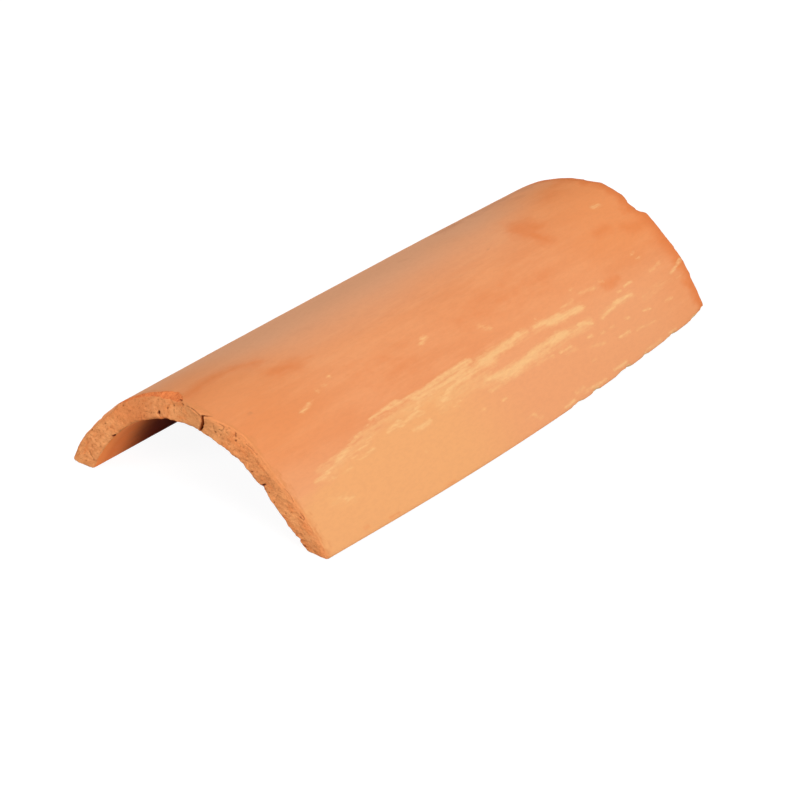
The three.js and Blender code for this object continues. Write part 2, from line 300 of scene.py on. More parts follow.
BLUSH_STROKES = [
    (15.0, 0.95, [(5, 108), (6, 118)]),
    (10.0, 0.85, [(15, 111), (22, 114)]),
    (12.0, 0.5, [(-10, 158), (-12, 170)]),
    (8.0, 0.5, [(-18, 180), (-18, 188)]),
    (7.0, 0.7, [(38, 154), (38, 164)]),
    (5.5, 0.75, [(71, 124), (71.5, 139)]),
    (10.0, 0.7, [(46, 180), (48, 204)]),
    (14.0, 0.6, [(66, 198), (76, 200)]),
    (6.5, 0.6, [(-12, -200), (-16, -172), (-12, -150), (-6, -138)]),
    (11.0, 0.6, [(8, -142), (10, -126)]),
    (2.0, 0.7, [(11, -113), (11.5, -111)]),
    (14.0, 0.3, [(40, -100), (46, -60)]),
    (14.0, 0.3, [(42, 0), (43, 90)]),
    (2.0, 0.8, [(120, -166), (120.3, -163)]),
    (1.5, 0.6, [(122.5, -145), (122.8, -136)]),
    (1.5, 0.6, [(122.8, -92), (122.8, -84)]),
]
SOOT_AND_SHADE_STROKES = [
    (4.0, 0.3, [(-29, 26), (-28, 32)]),
    (9.0, 0.35, [(-36, 142), (-31, 158)]),
    (11.0, 0.15, [(-18, -108), (-8, -75), (3, -45)]),
    (1.8, 0.7, [(24.8, -184), (25.2, -181)]),
    (1.5, 0.6, [(74.7, 71), (74.9, 73)]),
    (1.0, 0.5, [(77.5, -100), (73.5, -96.5)]),
    (1.0, 0.4, [(76.5, -82), (74.5, -79)]),
    (1.3, 0.25, [(14, -95), (16, -30), (15, 30), (14, 60)]),
    (1.2, 0.4, [(7.5, 71), (6.5, 74)]),
    # painted shade: the rear of the skin left of the crest is darker
    (18.0, 0.5, [(-46, 90), (-44, 185)]),
]
DULL_STROKES = [
    (15.0, 0.8, [(-56, -204), (-38, -204)]),
]
PALE_STROKES = [
    (16.0, 0.9, [(1, -204), (17, -204)]),
    (9.0, 0.6, [(78, -203), (82, -203)]),
]
WARM_STROKES = [
    (11.0, 0.6, [(-70, -204), (-48, -204)]),
    (13.0, 0.35, [(36, -203), (84, -203)]),
]
STROKES = dict(lime=LIME_STROKES, haze=HAZE_STROKES, peach=PEACH_STROKES, blush=BLUSH_STROKES,
               soot_and_shade=SOOT_AND_SHADE_STROKES, warm=WARM_STROKES, dull=DULL_STROKES, pale=PALE_STROKES)

# ---- Fineness of the mesh: zones that each end somewhere, in mm, with a step between lines --

EDGE_STEP = 0.8
WALL_STEP = 1.1
ACROSS_STEP = 1.4
CRACK_STEP = 0.7
CRACK_BAND = 3.0  # to either side of the drying crack
FRONT_BAND = 5.0  # the faces are as fine as the wide end's cut as far as this behind it
ALONG_ZONES = [
    (EDGE_ROUND, EDGE_STEP), (FRONT_BAND, 1.2), (14.0, 1.8), (0.5 * LENGTH, 4.4),
    (0.94 * LENGTH, 2.1), (LENGTH - EDGE_ROUND, 1.6), (LENGTH, EDGE_STEP),
]
HALVINGS = 30  # of the span in which a foot's inner edge is looked for


# ---- Shape of the draped slab -------------------------------------------------------------

def ease(value):
    value = np.clip(value, 0, 1)
    return value * value * (3 - 2 * value)


def blend(low, high, part):
    return low + (high - low) * part


def midness(station):
    """1 at mid-length, falling as a parabola to 0 at both ends."""
    return np.maximum(0, 4 * station * (1 - station))


def arc_at(station):
    """Circle through both feet and the crest of a true arc, for a place from 0 to 1 along."""
    width = blend(WIDE_END_WIDTH, NARROW_END_WIDTH, station)
    height = blend(WIDE_END_HEIGHT, NARROW_END_HEIGHT, station)
    rise = height + CREST_BOW * midness(station) - CROWN
    radius = (width * width / 4 + rise * rise) / (2 * rise)
    return radius, rise, np.arctan2(width / 2, radius - rise)


MID_RADIUS, _, MID_HALF_ANGLE = arc_at(0.5)
HALF_ARC = float(MID_RADIUS * MID_HALF_ANGLE)


def section_point(across, station, below):
    """A point of the section, x and z, that lies below the outer face and square to it."""
    radius, rise, half_angle = arc_at(station)
    angle = across * half_angle
    sine, cosine = np.sin(angle), np.cos(angle)
    lean_turn = np.pi * across
    crown_turn = 1.5 * np.pi * (across + 1)
    bulge = -LEAN * np.sin(lean_turn) - CROWN * np.sin(crown_turn)
    slope = -LEAN * np.pi * np.cos(lean_turn) - CROWN * 1.5 * np.pi * np.cos(crown_turn)
    slope = slope / half_angle

    normal_x = sine * (radius + bulge) - slope * cosine
    normal_z = cosine * (radius + bulge) + slope * sine
    size = np.hypot(normal_x, normal_z)
    flare = np.where(across > 0, RIGHT_FLARE, -LEFT_FLARE)
    x = sine * (radius + bulge) - normal_x / size * below
    z = cosine * (radius + bulge) - normal_z / size * below - (radius - rise)
    return x + flare * midness(station) ** FLARE_FADE * across * across, z


def foot_place(side, station):
    """How far down the leg the inner face meets the floor, as a place across."""
    above = np.full(station.shape, 0.5)
    below = np.full(station.shape, 1.5)
    for _ in range(HALVINGS):
        middle = (above + below) / 2
        higher = section_point(side * middle, station, WALL)[1] > 0
        above = np.where(higher, middle, above)
        below = np.where(higher, below, middle)
    return above


def drape(across, along, depth):
    """Where points of the slab come to rest on the mould, in mm."""
    station = along / LENGTH + 0.5
    side = np.where(across < 0, -1.0, 1.0)
    outer_x, outer_z = section_point(across, station, 0.0)
    inner_x, inner_z = section_point(across * foot_place(side, station), station, WALL)
    level = depth / WALL
    return np.stack([blend(inner_x, outer_x, level), along, blend(inner_z, outer_z, level)],
                    axis=-1)


def setback(cut, across):
    """The setback of a cut end, easing from one listed place to the next."""
    places, backs = np.array(cut, dtype=float).T
    across = np.clip(across, -1, 1)
    after = np.clip(np.searchsorted(places, across), 1, len(cut) - 1)
    part = ease((across - places[after - 1]) / (places[after] - places[after - 1]))
    return blend(backs[after - 1], backs[after], part)


def wide_end(across, depth):
    inner = setback(WIDE_END_INNER_CUT, across)
    outer = setback(WIDE_END_OUTER_CUT, across)
    return -LENGTH / 2 + blend(inner, outer, depth / WALL)


def narrow_end(across):
    return LENGTH / 2 - setback(NARROW_END_CUT, across)


# ---- Grid of the slab ---------------------------------------------------------------------

def grid_lines(*zones):
    """Grid lines from 0 on, for zones that each have an end and a step."""
    lines = [0.0]
    for end, step in zones:
        count = max(1, round((end - lines[-1]) / step))
        lines.extend(np.linspace(lines[-1], end, count + 1)[1:])
    return np.array(lines)


def slab_grid():
    """The surface of a flat box with graded grid lines, as points and outward quads."""
    size = np.array([2 * HALF_ARC, LENGTH, WALL])
    crack = HALF_ARC * (1 + CRACK[2][0][0])
    across = grid_lines(
        (EDGE_ROUND, EDGE_STEP), (crack - CRACK_BAND, ACROSS_STEP),
        (crack + CRACK_BAND, CRACK_STEP), (size[0] - EDGE_ROUND, ACROSS_STEP),
        (size[0], EDGE_STEP))
    along = grid_lines(*ALONG_ZONES)
    depth = grid_lines((EDGE_ROUND, EDGE_STEP), (WALL - EDGE_ROUND, WALL_STEP), (WALL, EDGE_STEP))

    lines = [across, along, depth]
    counts = [len(line) for line in lines]
    place = np.indices(counts)
    last = np.array(counts).reshape(3, 1, 1, 1) - 1
    outside = ((place == 0) | (place == last)).any(axis=0)
    index = np.full(counts, -1)
    index[outside] = np.arange(outside.sum())
    points = np.stack([line[place[axis][outside]] for axis, line in enumerate(lines)], axis=-1)

    quads = []
    for axis in range(3):
        for end in (0, -1):
            sheet = np.take(index, end, axis=axis)
            corners = [sheet[:-1, :-1], sheet[1:, :-1], sheet[1:, 1:], sheet[:-1, 1:]]
            quad = np.stack(corners, axis=-1).reshape(-1, 4)
            turned = (end == 0) != (axis == 1)
            quads.append(quad[:, ::-1] if turned else quad)
    return points, np.concatenate(quads), size


def finer_front(mesh):
    """Halves the grid over the wide end's cut and a band behind it."""
    work = bmesh.new()
    work.from_mesh(mesh)
    edges = [edge for edge in work.edges
             if all(corner.co.y < FRONT_BAND + 0.01 for corner in edge.verts)]
    bmesh.ops.subdivide_edges(work, edges=edges, cuts=1, use_grid_fill=True)
    work.to_mesh(mesh)
    work.free()


def read_vectors(mesh, field):
    flat = np.empty(len(mesh.vertices) * 3)
    mesh.vertices.foreach_get(field, flat)
    return flat.reshape(-1, 3)


def move_vertices(mesh, points):
    mesh.vertices.foreach_set("co", points.astype(np.float32).ravel())
    mesh.update()


# ---- Noise --------------------------------------------------------------------------------

NOISE_STRIDES = (17.3, 41.7, 9.1)  # from one seed to the next


def clay_noise(points, size, seed, octaves=1):
    """Smooth noise from about -1 to 1, with bumps of the given size in mm."""
    offset = Vector([stride * seed for stride in NOISE_STRIDES])
    scaled = (points / size).tolist()
    if octaves == 1:
        return np.array([noise.noise(Vector(point) + offset) for point in scaled])
    return np.array([noise.fractal(Vector(point) + offset, 1.0, 2.0, octaves)
                     for point in scaled])


# ---- Knocks and marks, in the flat slab ---------------------------------------------------

class Slab:
    """Place across, along and through the slab of every vertex, and what shows there."""

    def __init__(self, flat, size):
        core = np.clip(flat, EDGE_ROUND, size - EDGE_ROUND)
        outward = flat - core
        self.facing = outward / np.linalg.norm(outward, axis=1, keepdims=True)
        rounded = core + self.facing * EDGE_ROUND
        self.across = 2 * rounded[:, 0] / size[0] - 1
        self.depth = rounded[:, 2].copy()
        start, end = wide_end(self.across, self.depth), narrow_end(self.across)
        self.along = blend(start, end, rounded[:, 1] / size[1])
        self.cut = self.turned_to(1)
        self.sole = self.turned_to(0)
        self.broken = np.zeros(len(flat))
        self.flaked = np.zeros(len(flat))
        self.pit = np.zeros(len(flat))

    def turned_to(self, axis):
        """1 where the surface faces one way or the other along an axis, and 0 well off it."""
        return ease(2 * np.abs(self.facing[:, axis]) - 0.6)

    def places(self):
        return np.stack([self.across * HALF_ARC, self.along, self.depth], axis=-1)

    def from_wide_end(self):
        return self.along - wide_end(self.across, self.depth)

    def from_narrow_end(self):
        return narrow_end(self.across) - self.along


def knock_off(first, second, reach, drop, growth):
    """Moves points that lie outside a slanted plane onto it; returns both distances and where."""
    spare = growth - first / reach - second / drop
    inside = (spare > 0) & (growth > 0)
    push = np.where(inside, spare, 0.0) / (1 / reach**2 + 1 / drop**2)
    return first + push / reach, second + push / drop, inside


def bump(distance):
    """1 at the middle of a round hollow and 0 from a distance of 1."""
    return np.sqrt(np.clip(1 - distance * distance, 0, 1))


def thicken_toe(slab):
    """Moves the inner face of the left leg inward, from nothing at its top to all at its foot."""
    low = ease((TOE["top"] - slab.across) / (1 + TOE["top"]))
    near = 1 - ease(slab.from_wide_end() / TOE["fades"])
    slab.depth -= TOE["thicker"] * low * near * (1 - slab.depth / WALL)


def slump_narrow_end(slab):
    """The wet outer face was rounded off by hand beside the narrow end."""
    near = np.clip(1 - slab.from_narrow_end() / SLUMP["fades"], 0, 1)
    slab.depth -= SLUMP["deep"] * near**2 * slab.depth / WALL


def knock_top_edge(slab, places, fresh):
    """Takes the outer edge off the wide end's cut; what is left is fresh clay, or just worn."""
    growth = np.interp(slab.across, *zip(*places), left=0, right=0)
    ragged = 1 + 0.22 * clay_noise(slab.places(), size=7, seed=3, octaves=2)
    front = slab.from_wide_end()
    top = WALL - slab.depth
    new_front, new_top, hit = knock_off(front, top, SLIVER["reach"], SLIVER["drop"],
                                        growth * ragged)
    slab.along += new_front - front
    slab.depth -= new_top - top
    slab.broken = np.where(hit & fresh, 1.0, slab.broken)


def knock_flakes(slab):
    station = slab.along / LENGTH + 0.5
    ragged = 1 + 0.3 * clay_noise(slab.places(), size=5, seed=4)
    for foot, start, deepest, end, reach, rise in FLAKES:
        growth = np.interp(station, [start, deepest, end], [0.05, 1, 0.05], left=0, right=0)
        growth = np.where(slab.across * foot > 0, growth, 0) * ragged
        side = WALL - slab.depth
        up = (1 - slab.across * foot) * HALF_ARC
        new_side, new_up, hit = knock_off(side, up, reach, rise, growth)
        slab.depth -= new_side - side
        slab.across -= foot * (new_up - up) / HALF_ARC
        slab.flaked = np.where(hit, 1.0, slab.flaked)


def knock_lower_edge(slab):
    for bite in LOWER_EDGE_BITES:
        away = (slab.across - bite["across"]) * HALF_ARC / (bite["width"] / 2)
        front = slab.from_wide_end()
        new_front, new_depth, hit = knock_off(front, slab.depth, bite["reach"], bite["height"],
                                              BITE_GROWTH * bump(away))
        slab.along += new_front - front
        slab.depth = new_depth
        slab.broken = np.where(hit, 1.0, slab.broken)


def distance_to_line(x, y, line):
    """Distance of points from a line of straight pieces, or from the one point in it."""
    nearest = np.hypot(x - line[0][0], y - line[0][1])
    for (x0, y0), (x1, y1) in zip(line, line[1:]):
        run_x, run_y = x1 - x0, y1 - y0
        part = ((x - x0) * run_x + (y - y0) * run_y) / (run_x**2 + run_y**2)
        part = np.clip(part, 0, 1)
        nearest = np.minimum(nearest, np.hypot(x - x0 - part * run_x, y - y0 - part * run_y))
    return nearest


def mark_cut(slab, width, deep, places):
    """Scores a line, or pricks a pit, into the wide end's cut."""
    line = [(across * HALF_ARC, level * WALL) for across, level in places]
    behind = slab.from_wide_end()
    x = slab.across * HALF_ARC + 0.35 * clay_noise(slab.places(), size=1.5, seed=7)
    over = slab.depth + np.where(slab.depth > WALL / 2, 1, -1) * behind
    away = distance_to_line(x, over, line) / (width / 2)
    shown = ease(1.5 - behind / 4)  # 1 as far as 2 mm behind the cut, and 0 from 6 mm on
    opening = np.clip(1.25 - away, 0, 1) * shown
    slab.along += deep * opening * (1 - ease(behind / 3))
    slab.pit = np.maximum(slab.pit, opening * min(2, 0.35 + deep / 2))


def roughen_cuts(slab):
    """Torn grain on both cut ends, and ragged edges around them."""
    places = slab.places()
    grains = 0.45 * clay_noise(places, size=3.2, seed=21, octaves=2)
    grains += 0.22 * clay_noise(places, size=1.6, seed=22)
    to_face = np.minimum(slab.depth, WALL - slab.depth)
    ragged = 0.9 * ease(1 - to_face / 3) * clay_noise(places, size=6.5, seed=23, octaves=3)
    tear = grains + ragged
    slab.along += tear * ease(1 - slab.from_wide_end() / TEAR_BAND)
    slab.along -= tear * ease(1 - slab.from_narrow_end() / TEAR_BAND)


def shape_slab(slab):
    thicken_toe(slab)
    slump_narrow_end(slab)
    knock_top_edge(slab, SLIVER_GROWTH, fresh=True)
    knock_top_edge(slab, WORN_GROWTH, fresh=False)
    knock_flakes(slab)
    knock_lower_edge(slab)
    roughen_cuts(slab)
    for mark in CUT_MARKS:
        mark_cut(slab, *mark)
    mark_cut(slab, *CRACK)


def skin_relief(slab):
    """How far the faces stand out of the smooth slab, in mm: hand waves, dimples and chips."""
    places = slab.places()
    waves = 0.2 * clay_noise(places * (1, 0.4, 1), size=36, seed=31)
    dimples = 0.07 * clay_noise(places * (1, 0.5, 1), size=9, seed=32)
    inside = slab.facing[:, 2] < -0.5
    sand = np.where(inside, 0.08 * clay_noise(places, size=4, seed=33, octaves=2), 0)
    chipped = 0.3 * slab.flaked * clay_noise(places, size=3, seed=34, octaves=2)
    torn = 0.35 * slab.broken * clay_noise(places, size=2.4, seed=35, octaves=2)
    return (waves + dimples + sand) * (1 - slab.cut) * (1 - slab.sole) + chipped + torn


# ---- The tile -----------------------------------------------------------------------------

def box_centre(points):
    low, high = points.min(axis=0), points.max(axis=0)
    return np.array([(low[0] + high[0]) / 2, (low[1] + high[1]) / 2, 0])


def save_attribute(mesh, name, values):
    vector = values.ndim == 2
    attribute = mesh.attributes.new(name, "FLOAT_VECTOR" if vector else "FLOAT", "POINT")
    attribute.data.foreach_set("vector" if vector else "value", values.astype(np.float32).ravel())


def save_looks(mesh, slab):
    """What the material needs to know of each vertex: its place, its surface and its paint."""
    save_attribute(mesh, "slab", slab.places())
    save_attribute(mesh, "from_wide_end", slab.from_wide_end())
    save_attribute(mesh, "from_narrow_end", slab.from_narrow_end())
    for name in ("cut", "broken", "flaked", "pit"):
        save_attribute(mesh, name, getattr(slab, name))
    wobble = 0.9 * clay_noise(slab.places() * (1, 0.6, 1), size=8, seed=41, octaves=2)
    x = slab.across * HALF_ARC + wobble
    for name, strokes in STROKES.items():
        save_attribute(mesh, name, painted(x, slab.along, strokes))


def painted(x, y, strokes):
    """Strongest of the strokes: its strength along the middle, 0 at its half width, then less."""
    layers = [strength * (1 - distance_to_line(x, y, line) / half_width)
              for half_width, strength, line in strokes]
    return np.clip(np.max(layers, axis=0), -1, 1)


def make_tile():
    flat, quads, size = slab_grid()
    mesh = bpy.data.meshes.new("roof_tile")
    mesh.from_pydata(flat.tolist(), [], quads.tolist())
    finer_front(mesh)

    slab = Slab(read_vectors(mesh, "co"), size)
    centre = box_centre(drape(slab.across, slab.along, slab.depth))
    shape_slab(slab)
    points = drape(slab.across, slab.along, slab.depth) - centre
    move_vertices(mesh, points)
    points += read_vectors(mesh, "normal") * skin_relief(slab)[:, None]
    low, high = (np.array(corner) / MM for corner in CAD_BOX)
    move_vertices(mesh, np.clip(points, low, high) * MM)
    save_looks(mesh, slab)
    mesh.polygons.foreach_set("use_smooth", np.ones(len(mesh.polygons), dtype=bool))

    tile = bpy.data.objects.new("roof_tile", mesh)
    bpy.context.scene.collection.objects.link(tile)
    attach(tile, "root")
    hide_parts("clay_tile")
    return tile, centre


# ---- Terracotta: colours as they look in soft full light -----------------------------------

SALMON = (236, 155, 103)
SALMON_DEEP = (231, 147, 95)
SALMON_PALE = (240, 165, 114)
FIRED = (236, 145, 85)
# dust, and painted sheen left of the crest
DUST_AND_SHEEN = (231, 168, 127)
WASHED = (237, 163, 113)
PEACH = (238, 169, 111)
LIME = (246, 197, 136)
BLUSH = (228, 129, 72)
# soot, and painted shade at the rear left of the crest
SOOT_AND_SHADE = (186, 118, 82)
TORN_CLAY = (223, 142, 86)
TORN_LIGHT = (236, 159, 100)
TORN_WARM = (227, 133, 75)
TORN_DARK = (170, 88, 49)
ARRIS = (215, 136, 84)
BROKEN = (231, 134, 77)
BROKEN_DARK = (204, 102, 55)
# painted shade in scored lines and pits
PIT_SHADE = (104, 42, 24)
# painted shade in the drying crack
CRACK_SHADE = (44, 12, 10)
INSIDE = (238, 128, 68)
INSIDE_PALE = (240, 140, 84)
# painted light on the inner face near the wide end
LIP_LIGHT = (255, 148, 82)
# smoked clay and painted shade, deep inside the tile
SMOKED_AND_SHADE = (104, 28, 14)

SMOOTHEST, ROUGHEST = 0.74, 0.92  # roughness between and on the drawn streaks
GLOSS = 0.06

MIX_PART, MIX_FIRST, MIX_SECOND, MIX_RESULT = 0, 6, 7, 2  # colour sockets of the Mix node


def srgb(red, green, blue):
    """A colour written as 0..255 sRGB, in Blender's linear values."""
    def linear(value):
        value /= 255
        return value / 12.92 if value <= 0.04045 else ((value + 0.055) / 1.055) ** 2.4
    return (linear(red), linear(green), linear(blue), 1.0)


class Paint:
    """Adds nodes to the tile's material. Sockets or plain values go in, and a socket comes out."""

    def __init__(self, tree):
        self.tree = tree
        self.place = self.attribute("slab", "Vector")
        self.across, self.along, self.depth = self.node("SeparateXYZ", {0: self.place}).outputs

    def node(self, kind, inputs=(), **settings):
        node = self.tree.nodes.new("ShaderNode" + kind)
        for name, setting in settings.items():
            setattr(node, name, setting)
        for name, source in dict(inputs).items():
            if isinstance(source, bpy.types.NodeSocket):
                self.tree.links.new(source, node.inputs[name])
            else:
                node.inputs[name].default_value = source
        return node

    def attribute(self, name, output="Fac"):
        return self.node("Attribute", attribute_name=name).outputs[output]

    def math(self, operation, *values):
        return self.node("Math", enumerate(values), operation=operation).outputs[0]

    def plus(self, first, second):
        return self.math("ADD", first, second)

    def times(self, first, second):
        return self.math("MULTIPLY", first, second)

    def swing(self, value, weight):
        """Noise from 0 to 1 made to swing either way of 0, times a weight."""
        return self.times(self.math("SUBTRACT", value, 0.5), weight)

    def ramp(self, value, low, high):
        """0 up to low and 1 from high on, eased between; low may be the greater one."""
        bounds = {"Value": value, "From Min": low, "From Max": high}
        return self.node("MapRange", bounds, interpolation_type="SMOOTHSTEP").outputs["Result"]

    def mix(self, part, first, second):
        """The first colour where part is 0 and the second where it is 1."""
        colours = [colour if isinstance(colour, bpy.types.NodeSocket) else srgb(*colour)
                   for colour in (first, second)]
        inputs = {MIX_PART: part, MIX_FIRST: colours[0], MIX_SECOND: colours[1]}
        return self.node("Mix", inputs, data_type="RGBA").outputs[MIX_RESULT]

    def noise(self, size, seed, octaves=2, rough=0.5):
        """Noise from 0 to 1 with bumps of the given size in mm: one number, or one an axis."""
        sizes = size if isinstance(size, tuple) else (size, size, size)
        scaled = self.node("VectorMath", {0: self.place, 1: sizes}, operation="DIVIDE")
        inputs = {"Vector": scaled.outputs[0], "W": seed, "Scale": 1.0, "Detail": octaves,
                  "Roughness": rough}
        return self.node("TexNoise", inputs, noise_dimensions="4D").outputs[0]


def outer_skin(paint):
    """Fired skin, hand-rubbed: redder near both ends, dust and painted sheen left of the crest,
    washed low down.
    """
    clouds = paint.noise((30, 80, 30), seed=1, octaves=3)
    skin = paint.mix(paint.ramp(clouds, 0.35, 0.65), SALMON_DEEP, SALMON)
    rubbed = paint.ramp(paint.noise((6, 50, 6), seed=2, octaves=4, rough=0.65), 0.42, 0.75)
    skin = paint.mix(paint.times(rubbed, 0.5), skin, SALMON_PALE)

    wander = paint.swing(clouds, 30)
    at_wide_end = paint.ramp(paint.along, -100, -185)
    at_narrow_end = paint.ramp(paint.along, 80, 180)
    ends = paint.math("MAXIMUM", paint.times(at_wide_end, 0.5), paint.times(at_narrow_end, 0.68))
    fired = paint.ramp(paint.plus(paint.across, wander), 74, 46)
    skin = paint.mix(paint.times(fired, paint.times(ends, 0.85)), skin, FIRED)

    from_crest = paint.plus(paint.across, paint.times(at_wide_end, 32))
    from_crest = paint.plus(from_crest, paint.times(at_narrow_end, 33))
    # painted sheen and light: paler and greyer left of the crest, partly dust
    left = paint.ramp(paint.plus(from_crest, wander), 28, -34)
    above_left_leg = paint.ramp(paint.plus(paint.across, wander), -92, -62)
    skin = paint.mix(paint.times(left, above_left_leg), skin, DUST_AND_SHEEN)

    low = paint.ramp(paint.plus(paint.across, paint.swing(clouds, 20)), 62, 90)
    low = paint.times(low, paint.ramp(paint.plus(paint.along, wander), 212, 135))
    skin = paint.mix(paint.times(low, 0.8), skin, WASHED)

    frayed = paint.swing(paint.noise((5, 24, 5), seed=4, octaves=3, rough=0.6), 0.35)
    peach = paint.ramp(paint.plus(paint.attribute("peach"), frayed), -0.02, 0.34)
    front = paint.ramp(paint.plus(paint.along, wander), 15, -75)
    return paint.mix(paint.times(peach, front), skin, PEACH)


def smudges(paint, skin):
    """Redder places where the skin fired harder, dark soot and painted shade, and the narrow end's
    rim.
    """
    worn = paint.swing(paint.noise((8, 13, 8), seed=3, octaves=4, rough=0.6), 1)
    blush = paint.ramp(paint.plus(paint.attribute("blush"), paint.times(worn, 1.3)), -0.1, 1)
    skin = paint.mix(paint.times(blush, 0.7), skin, BLUSH)
    # dark smudges: soot, and painted shade at the rear left of the crest
    soot_and_shade = paint.ramp(paint.plus(paint.attribute("soot_and_shade"), paint.times(worn, 0.8)), 0.05, 0.9)
    skin = paint.mix(paint.times(soot_and_shade, 0.6), skin, SOOT_AND_SHADE)
    from_rim = paint.plus(paint.attribute("from_narrow_end"), paint.times(worn, 22))
    return paint.mix(paint.times(paint.ramp(from_rim, 15, 3), 0.85), skin, BLUSH)


def lime_marks(paint):
    """Dry-brushed lime: a thin haze, and strokes broken up by streaks that run along the tile."""
    fill = paint.attribute("lime")
    drag = paint.swing(paint.noise((1.6, 22, 1.6), seed=5, octaves=3, rough=0.65), 1.5)
    speck = paint.swing(paint.noise((1.4, 4, 1.4), seed=6, octaves=3, rough=0.7), 1.3)
    streaky = paint.plus(drag, speck)
    crumbled = paint.swing(paint.noise((1.1, 2.2, 1.1), seed=16, octaves=2, rough=0.6), 1.2)
    thick = paint.times(paint.ramp(paint.plus(fill, streaky), -0.2, 1),
                        paint.ramp(paint.plus(fill, crumbled), -0.3, 0.45))
    veil = paint.attribute("haze")
    haze = paint.times(paint.ramp(paint.plus(veil, streaky), 0, 1.2),
                       paint.ramp(veil, -0.1, 0.4))
    return paint.math("MAXIMUM", thick, paint.times(haze, 0.6))


def torn_clay(paint):
    """The raw cut: granular, in places more orange or paler, with dark specks between grains."""
    patches = paint.noise((9, 5, 5), seed=7, octaves=3, rough=0.65)
    clay = paint.mix(paint.ramp(patches, 0.38, 0.62), TORN_CLAY, TORN_LIGHT)
    embers = paint.ramp(paint.noise((14, 6, 5), seed=12, octaves=3, rough=0.6), 0.48, 0.66)
    warm = paint.plus(paint.attribute("warm"), paint.swing(patches, 1.2))
    warm = paint.math("MAXIMUM", embers, paint.ramp(warm, 0.1, 0.8))
    clay = paint.mix(paint.times(warm, 0.8), clay, TORN_WARM)
    grains = paint.noise(1.8, seed=8, octaves=3, rough=0.75)
    clay = paint.mix(paint.times(paint.ramp(grains, 0.5, 0.7), 0.5), clay, TORN_LIGHT)
    clay = paint.mix(paint.times(paint.ramp(grains, 0.48, 0.3), 0.75), clay, TORN_DARK)
    dull = paint.ramp(paint.attribute("dull"), 0, 0.8)
    clay = paint.mix(paint.times(dull, 0.22), clay, TORN_DARK)
    pale = paint.ramp(paint.attribute("pale"), 0, 0.8)
    clay = paint.mix(paint.times(pale, 0.55), clay, TORN_LIGHT)
    arris = paint.ramp(paint.plus(paint.depth, paint.swing(patches, 4)), 12, 14.6)
    return paint.mix(paint.times(arris, 0.7), clay, ARRIS)


def mould_side(paint):
    """The inner face: redder than the skin, smoked and painted shade deep inside, painted light at
    the lip.
    """
    blotches = paint.noise((9, 18, 9), seed=9, octaves=4, rough=0.6)
    clay = paint.mix(paint.ramp(blotches, 0.4, 0.75), INSIDE, INSIDE_PALE)
    from_mouth = paint.attribute("from_wide_end")
    from_ends = paint.math("MINIMUM", from_mouth, paint.attribute("from_narrow_end"))
    # painted shade: darker the farther from either open end, partly smoked clay
    deep = paint.ramp(paint.plus(from_ends, paint.swing(blotches, 14)), 13, 52)
    clay = paint.mix(paint.times(deep, 0.95), clay, SMOKED_AND_SHADE)
    # painted light: the inner face brighter near the wide end's mouth
    lip = paint.ramp(paint.plus(from_mouth, paint.swing(blotches, 8)), 13, 4)
    return paint.mix(paint.times(lip, 0.95), clay, LIP_LIGHT)


def worn_skin(paint, lime):
    """The outer face with its smudges and lime, rubbed down to raw clay along the wide end."""
    skin = paint.mix(lime, smudges(paint, outer_skin(paint)), LIME)
    rubbed_off = paint.swing(paint.noise((6, 3, 6), seed=17, octaves=3, rough=0.65), 18)
    rim = paint.ramp(paint.plus(paint.attribute("from_wide_end"), rubbed_off), 7, 0)
    skin = paint.mix(paint.times(rim, 0.85), skin, TORN_CLAY)
    sand = paint.ramp(paint.noise((1.6, 4, 1.6), seed=15, octaves=3, rough=0.7), 0.6, 0.35)
    return paint.mix(paint.times(sand, 0.07), skin, SOOT_AND_SHADE)


def clay_colour(paint, outside, raw, lime):
    colour = paint.mix(outside, mould_side(paint), worn_skin(paint, lime))
    colour = paint.mix(raw, colour, torn_clay(paint))
    chipped = paint.ramp(paint.attribute("flaked"), 0.2, 0.8)
    colour = paint.mix(paint.times(chipped, 0.8), colour, LIME)
    grains = paint.noise(1.6, seed=11, octaves=3, rough=0.7)
    fresh = paint.mix(paint.ramp(grains, 0.6, 0.3), BROKEN, BROKEN_DARK)
    colour = paint.mix(paint.ramp(paint.attribute("broken"), 0.35, 0.65), colour, fresh)
    # painted shade in the scored lines and pits, darker the deeper they are
    pit = paint.attribute("pit")
    colour = paint.mix(paint.ramp(pit, 0.15, 0.95), colour, PIT_SHADE)
    # painted shade deep in the drying crack
    return paint.mix(paint.ramp(pit, 0.9, 1.8), colour, CRACK_SHADE)


def surface_height(paint, streaks, raw, lime):
    """Height of the finest relief, in mm: drawn streaks, lime, and sand, coarser on raw clay."""
    drawn = paint.times(streaks, 0.06)
    sand = paint.noise(0.8, seed=14, octaves=3, rough=0.7)
    rough = paint.math("MAXIMUM", raw, paint.attribute("broken"))
    coarse = paint.plus(paint.times(rough, 0.45), 0.04)
    height = paint.plus(drawn, paint.times(sand, coarse))
    return paint.plus(height, paint.times(lime, 0.06))


